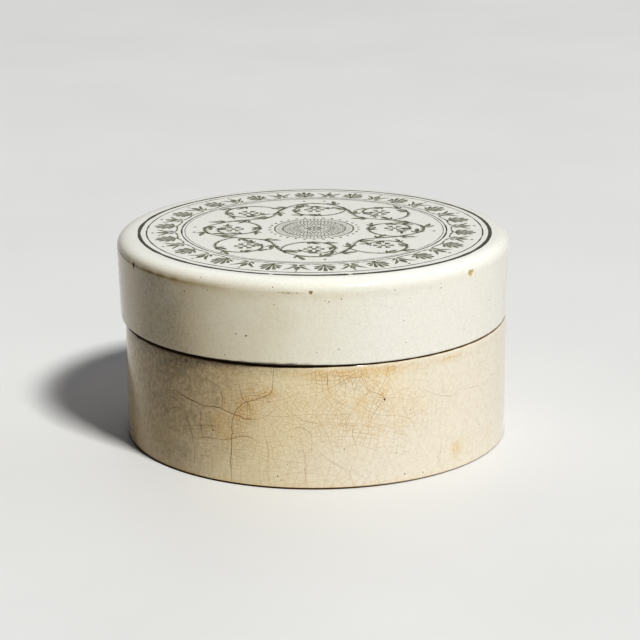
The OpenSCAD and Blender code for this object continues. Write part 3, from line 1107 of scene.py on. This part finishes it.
def lid_piece(name, points, faces, smooth):
    """A mesh on the lid, with the chips knocked into it, and with clay, rust and grime painted on,
    as well as painted shade under the rim and on the left side of the wall."""
    around, radius, height = polar_of(points - TO_LID)
    inside, depth, rust = chip_dents(points - TO_LID)
    inward = np.stack([-np.sin(around), np.cos(around), np.full(len(points), -0.7)], 1)
    mesh = fill_mesh(name, points + inward * depth[:, None], faces, smooth)
    paint(mesh, "chip", np.clip(inside * 4, 0, 1))
    paint(mesh, "rust", rust)
    paint(mesh, "grime", lid_grime(around, radius, height))
    paint(mesh, "rim", rim_grime_and_shade(around, height))
    ragged_edge = EDGE_Z - 2.0 + 0.10 * soft_noise(around, 0 * height, 3.0, 33)
    # painted shade on the left of the lid's wall, up to just under the shoulder
    soil = soil_and_shade_film(around, height, -49, 9.5) * np.clip((ragged_edge - height) / 0.5, 0, 1)
    paint(mesh, "soil", np.where(radius > SKIRT_R + 0.1, 1.22 * soil, 0))
    return mesh


points, faces = turned(lid_outline(), lid_angles())
lid_mesh = lid_piece("lid_shell", squeezed(points, LID_PHASE) + TO_LID, faces, True)
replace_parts(add_piece(lid_mesh, "lid", LID_GLAZE), "lid")

# %% [markdown]
# The lid is crazed as well, in wide cells with hardly any stain in them. Its wall and its top are
# torn as two cells, a strip and a disc. No old crack runs here, so the only one that the net
# could lean to is level and far away.

# %% Cracks on the lid
LID_STEP, LID_CRACK_WIDTH = 0.55, 0.06
LID_NET_START, LID_NET_END = 0.5, 20.4
TOP_NET_R = EDGE_R - SHOULDER_A
FAR_CRACK = np.array([[0.0, -999.0]]), np.array([0.0])
turn = np.linspace(0, 2 * np.pi, int(2 * np.pi * TOP_NET_R / LID_STEP), endpoint=False)
wall_cell, _ = unrolled(LEDGE_Z + LID_NET_START, LEDGE_Z + LID_NET_END, LID_STEP)
top_cell = TOP_NET_R * direction(turn)
for name, cell, area, seed, rule in (("lid_crazing", wall_cell, 9.0, 23, on_lid),
                                     ("lid_top_crazing", top_cell, 12.0, 24, on_top)):
    lines, areas = craze(cell, lambda place: area, seed, LID_STEP, FAR_CRACK)
    points, faces = strips(lines, [LID_CRACK_WIDTH] * len(lines), rule, CRACK_HIGH)
    mesh = lid_piece(name, points, faces, False)
    fade = raggedness(points[:, 0] / POT_R, points[:, 1] + points[:, 2], 0.6, (1.0, 9.0, 25))
    depths = 0.09 + 0.10 * age_of(areas, 6, 500)
    paint(mesh, "depth", np.clip(per_point(lines, depths) * np.clip(fade, 0, 1.4), 0, 1))
    add_piece(mesh, "lid", LID_CRACK)

# %% [markdown]
# ## Specks
# A speck is a flat dot, laid on like a crack. The large ones have a place of their own and the
# rest are strewn at random, with many small ones and few large.

# %% Specks
SPECK_HIGH = 0.004
POT_SPECKS = [(19.7, 18.6, 0.25), (-13.4, 18.6, 0.12), (-30.9, 11.0, 0.20), (-23.1, 17.6, 0.10),
              (-11.1, 2.7, 0.15), (-10.0, 1.9, 0.12), (-7.1, 11.4, 0.10), (-8.2, 5.3, 0.09),
              (27.8, 15.6, 0.11), (55.9, 7.8, 0.12), (37.5, 3.9, 0.10), (26.1, 1.8, 0.15),
              (32.1, 1.4, 0.14), (23.4, 6.7, 0.10), (26.0, 6.6, 0.09)]
LID_SPECKS = [(-11.0, 43.1, 0.13), (-9.4, 42.1, 0.09), (-8.1, 42.1, 0.08), (-6.7, 42.0, 0.10),
              (-4.3, 42.0, 0.09), (-10.6, 39.5, 0.10), (-21.8, 32.7, 0.13), (-18.8, 32.5, 0.19),
              (-38.3, 40.1, 0.14), (-30.2, 41.2, 0.12), (-37.6, 31.0, 0.12), (3.3, 40.4, 0.11),
              (4.4, 40.2, 0.13), (7.8, 40.7, 0.14), (23.0, 41.7, 0.11), (27.6, 39.6, 0.10),
              (25.9, 35.0, 0.10), (38.0, 41.4, 0.08), (14.3, 39.1, 0.07)]


def strewn(named, count, low, high, seed):
    """Dots at the named places and at random ones between two heights."""
    random = np.random.default_rng(seed)
    degrees, heights = random.uniform(-180, 180, count), random.uniform(low, high, count)
    sizes = 0.035 + 0.09 * random.random(count) ** 4
    rows = named + list(zip(degrees, heights, sizes))
    return [dot((np.radians(a) * POT_R, z), size) for a, z, size in rows]


for name, body, rule, specks in (
        ("pot_specks", "pot", on_pot, strewn(POT_SPECKS, 150, 1, LEDGE_Z - 1, 51)),
        ("lid_specks", "lid", on_lid, strewn(LID_SPECKS, 170, LEDGE_Z + 1, EDGE_Z, 52))):
    lines, widths = zip(*specks)
    points, faces = strips(lines, widths, rule, SPECK_HIGH)
    add_piece(fill_mesh(name, points, faces, False), body, IRON)

# %% [markdown]
# ## The print
# The lid's print is drawn the way an engraver cuts a plate: every mark is a stroke that swells
# and thins. A stroke is a line with a width along it, so leaves, dots and scrolls are all
# strokes. The design is made of common old patterns: a double ring, a border of palmettes and
# lotus buds, a running vine with curls and flowers, and a lathe-work rosette in the middle.

# %% Strokes
PRINT_HIGH = 0.008
PRINT_SHIFT = np.array([0.25, -0.15])


def even(line, width):
    """A stroke of one width."""
    return line, np.full(len(line), width)


def swelled(line, thin, thick, peak=0.5):
    """A stroke of width thin + (thick - thin) * sin(pi t^p), where the power p puts the thickest
    place at the peak's share of the line."""
    t = np.linspace(0, 1, len(line)) ** (np.log(0.5) / np.log(peak))
    return line, thin + (thick - thin) * np.sin(np.pi * t)


def polar(radius, degrees):
    """Points at a radius and at an angle counted from the front to the right."""
    turn = np.radians(degrees)
    return np.stack(np.broadcast_arrays(radius * np.sin(turn), -radius * np.cos(turn)), -1)


def bent_spine(root, heading, length, curl, t):
    """A spine that leaves the root along the heading and bends aside:
    length * (t along + curl t^2 aside)."""
    way = direction(heading)
    return root + length * (t[:, None] * way + curl * t[:, None] ** 2 * turned_left(way))


def petal(root, heading, length, width, curl=0.0, peak=0.5):
    """A pointed petal on a bent spine."""
    spine = bent_spine(root, heading, length, curl, np.linspace(0, 1, 11))
    return swelled(spine, 0.10, width, peak)


def club(root, heading, length, width, curl=0.0):
    """A club-shaped petal: its width goes as t^1.3 * sqrt(1 - t^8), up to its round end."""
    t = np.sin(np.linspace(0, np.pi / 2, 12))
    return (bent_spine(root, heading, length, curl, t),
            0.12 + 1.15 * width * t**1.3 * np.sqrt(1 - t**8))


def flower(middle, radius, petals=6):
    """Club-shaped petals about a dot."""
    strokes = [dot(middle, radius * 0.24)]
    for turn in np.arange(petals) * 2 * np.pi / petals:
        root = middle + 0.30 * radius * direction(turn)
        strokes.append(club(root, turn, radius * 0.72, radius * 0.66))
    return strokes


def make_print(name, strokes, ink=THIN_INK):
    """Ink strips for a list of strokes, laid on the lid's top."""
    lines = [line + PRINT_SHIFT for line, _ in strokes]
    points, faces = strips(lines, [width for _, width in strokes], on_top, PRINT_HIGH)
    return add_piece(fill_mesh(name, points, faces, False), "lid", ink)


# %% [markdown]
# ### Rings
# Two rings frame the print, a thick one and a thin one. The thick one isn't even: the transfer
# tore and slipped a little, so its width wanders and it almost breaks in two places at the front.

# %% Printed rings
def worn_ring(radius, width, wander, seed, slips=(), swells=()):
    """A ring once round, with slips of its radius in mm, and with its width varied by soft noise
    and by a share at the swells."""
    degrees = np.linspace(-180, 180, 1081)
    share = raggedness(np.radians(degrees), 0, 1, (wander, 6.0, seed)) + bumps(degrees, swells)
    return (polar(radius + bumps(degrees, slips), degrees),
            np.maximum(width * share, 0.15 * width))


make_print("printed_rings", [
    worn_ring(37.75, 0.76, 0.12, 41, [(52, 32, 0.55), (-5, 20, -0.10)],
              [(18, 24, 0.42), (180, 45, -0.32), (11.1, 0.7, -1.2), (-13.4, 0.6, -0.8)]),
    worn_ring(36.15, 0.28, 0.25, 42, [(66, 26, 0.38), (0, 32, -0.42)], [(180, 50, -0.3)]),
    worn_ring(28.6, 0.30, 0.2, 43),
    worn_ring(27.9, 0.14, 0.2, 44),
], PRINT_INK)

# %% [markdown]
# ### Border
# Palmettes and lotus buds take turns round the border, one of the oldest patterns there are. A
# small drawing is made upright, as (sideways, outwards), and then turned and set on its ring.

# %% Printed border
BORDER_R, BORDER_UNITS, BORDER_TURN = 29.3, 36, 4
UP = np.pi / 2
# lean, length and width of a palmette's petals
FAN = [(0, 4.5, 1.00), (0.40, 4.1, 0.92), (0.82, 3.3, 0.80), (1.30, 2.4, 0.66)]


def set_on_ring(strokes, radius, degrees):
    """Turns a small drawing and sets it on a ring at an angle."""
    turn = np.radians(degrees)
    sideways, outwards = direction(turn), np.array([np.sin(turn), -np.cos(turn)])
    return [(line[:, :1] * sideways + (radius + line[:, 1:]) * outwards, width)
            for line, width in strokes]


def palmette():
    """Seven club-shaped petals that fan out over a small heart."""
    root = np.array([0, 1.15])
    strokes = [club(root, UP - side * lean, length, width, 0.16 * side * lean)
               for lean, length, width in FAN for side in ((1, -1) if lean else (1,))]
    return strokes + [dot((0, 0.75), 0.42)]


def lotus():
    """A bud with a dot over it, between two tall leaves and two low ones that bend away."""
    strokes = [petal(np.array([0, 2.0]), UP, 2.9, 1.25, 0, 0.45), dot((0, 5.55), 0.32)]
    for side in (-1, 1):
        tall, low = np.array([0.2 * side, 1.0]), np.array([0.2 * side, 0.9])
        strokes.append(petal(tall, UP - 0.25 * side, 4.0, 0.70, -0.42 * side, 0.55))
        strokes.append(petal(low, UP - 1.2 * side, 1.7, 0.55, 0.35 * side))
    return strokes


def swags():
    """A swelling line from a unit's foot down to each side, which meets its neighbour's."""
    t = np.linspace(0, 1, 14)
    half = np.pi * BORDER_R / BORDER_UNITS
    sag = 0.75 - 0.5 * np.sin(np.pi * t / 2)
    return [swelled(np.stack([side * half * (0.08 + 0.92 * t), sag], 1), 0.18, 0.42)
            for side in (-1, 1)]


border = []
for unit in range(BORDER_UNITS):
    border += set_on_ring((lotus() if unit % 2 else palmette()) + swags(), BORDER_R,
                          unit * 360 / BORDER_UNITS + BORDER_TURN)
make_print("printed_border", border)

# %% [markdown]
# ### Vine
# The vine is a wave round the lid, r = 19 + 4.7 cos(4 a). In each of its eight hollows a curl
# leaves it and winds in round a flower: its distance from the flower's middle shrinks as it
# turns. Leaves grow on one side and then on the other, and fine cuts shade the stems.

# %% Printed vine
VINE_R, VINE_SWING, VINE_WAVES = 19.0, 4.7, 4
CURL_R, CURL_TURNS, CURL_START = 2.6, 0.98, 21.0


def vine_radius(degrees):
    """The vine's distance from the middle of the lid."""
    return VINE_R + VINE_SWING * np.cos(np.radians(VINE_WAVES * degrees))


def evenly(line, step):
    """Points a step apart along a line, and the directions there."""
    way = np.concatenate([[0], np.cumsum(np.hypot(*np.diff(line, axis=0).T))])
    at = np.arange(step / 2, way[-1], step)
    spots = np.stack([np.interp(at, way, line[:, k]) for k in (0, 1)], 1)
    along = np.gradient(spots, axis=0)
    return spots, along / np.linalg.norm(along, axis=1, keepdims=True)


def cuts(line, length, side):
    """Short parallel cuts along one side of a line, as an engraver shades it."""
    spots, along = evenly(line, 0.45)
    out = side * turned_left(along)
    starts, ends = spots + 0.15 * out, spots + length * out + 0.25 * along
    return [even(np.stack([a, b]), 0.10) for a, b in zip(starts, ends)]


def leaf(root, heading, length, side):
    """A leaf of three lobes, the middle one the longest, all bent to one side."""
    return [petal(root, heading + side * turn, length * share, 0.30 * length * share,
                  0.22 * side, 0.55)
            for turn, share in ((0.0, 1.0), (0.75, 0.60), (-0.75, 0.60))]


def leaves_along(line, step, lengths, side, skip=0):
    """Leaves a step apart along a line, on one side and the other in turn."""
    strokes = []
    spots, along = (rows[skip:] for rows in evenly(line, step))
    for k, (spot, way) in enumerate(zip(spots, along)):
        turn = side * (-1) ** k
        length = np.interp(k / len(spots), (0, 1), lengths)
        strokes += leaf(spot, np.arctan2(way[1], way[0]) + 0.8 * turn, length, -turn)
    return strokes


def winding(degrees, side):
    """A curl that starts on the vine and winds in round a middle in the hollow."""
    middle = polar(VINE_R + side * 1.6, degrees)
    first = polar(vine_radius(degrees - CURL_START), degrees - CURL_START)
    reach, turn = np.hypot(*(first - middle)), np.arctan2(*(first - middle)[::-1])
    t = np.linspace(0, 1, 70)
    away = CURL_R + (reach - CURL_R) * (1 - t) ** 1.25
    angle = turn + side * 2 * np.pi * CURL_TURNS * t
    return middle + away[:, None] * direction(angle), middle


def vine():
    """The wave, its curls with a flower in each, leaves, cuts and a few dots."""
    degrees = np.linspace(-180, 180, 721)
    wave = polar(vine_radius(degrees), degrees)
    strokes = [(wave, 0.52 + 0.16 * np.cos(np.radians(4 * VINE_WAVES * degrees)))]
    strokes += leaves_along(wave, 5.1, (3.7, 3.7), 1) + cuts(wave, 0.7, 1)
    for k in range(2 * VINE_WAVES):
        side, at = (1 if k % 2 else -1), k * 180 / VINE_WAVES
        curl, middle = winding(at, side)
        strokes += [swelled(curl, 0.22, 0.58, 0.35)] + flower(middle, 2.2) + cuts(curl, 0.6, -side)
        strokes += leaves_along(curl, 3.7, (3.2, 2.4), side, 2)
        if side < 0:
            strokes += [dot(polar(VINE_R + 6.9, at + turn), 0.36) for turn in (-5, 5)]
    return strokes


make_print("printed_vine", vine())

# %% [markdown]
# ### Rosette
# The rosette is lathe work: the same wavy line, r = m + s cos(n a + shift), cut again and again
# with a small shift, until the crossings make a lace. Fine ticks and two rings frame it.

# %% Printed rosette
def lace(middle, swing, lobes, shifts, width):
    """Wavy rings about the middle, one for each shift."""
    degrees = np.linspace(-180, 180, 481)
    return [even(polar(middle + swing * np.cos(np.radians(lobes * degrees) + shift), degrees),
                 width)
            for shift in np.arange(shifts) * 2 * np.pi / shifts]


def rosette():
    """Lace, an inner flower, ticks, rings and beads."""
    strokes = lace(4.9, 1.5, 10, 4, 0.16) + lace(2.6, 0.6, 8, 2, 0.16) + flower(np.zeros(2), 1.7, 8)
    strokes += [even(polar(radius, np.linspace(-180, 180, 361)), width)
                for radius, width in ((6.75, 0.34), (8.5, 0.36))]
    strokes += [even(polar(np.linspace(7.0, 8.1, 3), degrees), 0.20)
                for degrees in np.arange(0, 360, 6.0)]
    return strokes + [dot(polar(9.6, degrees), 0.34) for degrees in np.arange(0, 360, 12.0)]


make_print("printed_rosette", rosette())

# %% [markdown]
# ## Table
# A plain pale table, with the faintest clouds in it so that it doesn't look like paper.

# %% Table
def add_table(half=4000.0):
    """A flat square at height 0."""
    material, tree, shader, place = new_finish("pale_table")
    clouds = ranged(tree, noise(tree, place, 9, 3), 0.3, 0.7)
    plug(tree, shader, Roughness=0.55,
         Base_Color=mixed(tree, clouds, (0.607, 0.602, 0.594, 1), (0.638, 0.632, 0.622, 1)))
    points = np.array([(-half, -half, 0), (half, -half, 0), (half, half, 0), (-half, half, 0)])
    mesh = fill_mesh("table", points, [np.array([[0, 1, 2, 3]])], False)
    mesh.materials.append(material)
    table = add_object("table", mesh)


add_table()

# %% [markdown]
# ## Light
# One panel high on the right of the camera throws a soft-edged shadow back to the left. The sky
# is dark in front and bright behind: it fills that shadow, and the walls' edges and the far part
# of the lid's top catch its pale sheen.

# %% Light
def add_panel(name, azimuth, elevation, distance, size, power, colour):
    """A light panel that faces the pot, with its distance, width and height in metres. The azimuth
    counts from the camera's side to the right: distance * (sin a cos e, -cos a cos e, sin e)."""
    a, e = np.radians(azimuth), np.radians(elevation)
    data = bpy.data.lights.new(name, "AREA")
    data.shape, data.energy, data.color = "RECTANGLE", power, colour
    data.size, data.size_y = size
    panel = add_object(name, data)
    panel.matrix_world = (Matrix.Rotation(a, 4, "Z") @ Matrix.Rotation(np.pi / 2 - e, 4, "X")
                          @ Matrix.Translation((0, 0, distance)))


def set_sky(low, high):
    """Background light behind the pot: its strength rises from low near the horizon to high, and
    falls off along -Y to nothing in front."""
    world = bpy.data.worlds.new("sky")
    bpy.context.scene.world = world
    world.use_nodes = True
    tree = world.node_tree
    way = add_node(tree, "ShaderNodeTexCoord").outputs["Generated"]
    axes = add_node(tree, "ShaderNodeSeparateXYZ", Vector=way).outputs
    strength = maths(tree, "MULTIPLY", ranged(tree, axes[1], -0.2, 0.9),
                     ranged(tree, axes[2], 0.3, 0.6, low, high))
    plug(tree, tree.nodes["Background"], Color=(0.96, 0.965, 1.0, 1), Strength=strength)


add_panel("window", 36, 51, 8.0, (1.3, 1.2), 622.0, (0.99, 1.0, 0.985))
set_sky(0.32, 0.72)
bpy.context.scene.view_settings.view_transform = "Standard"
bpy.context.scene.view_settings.look = "High Contrast"
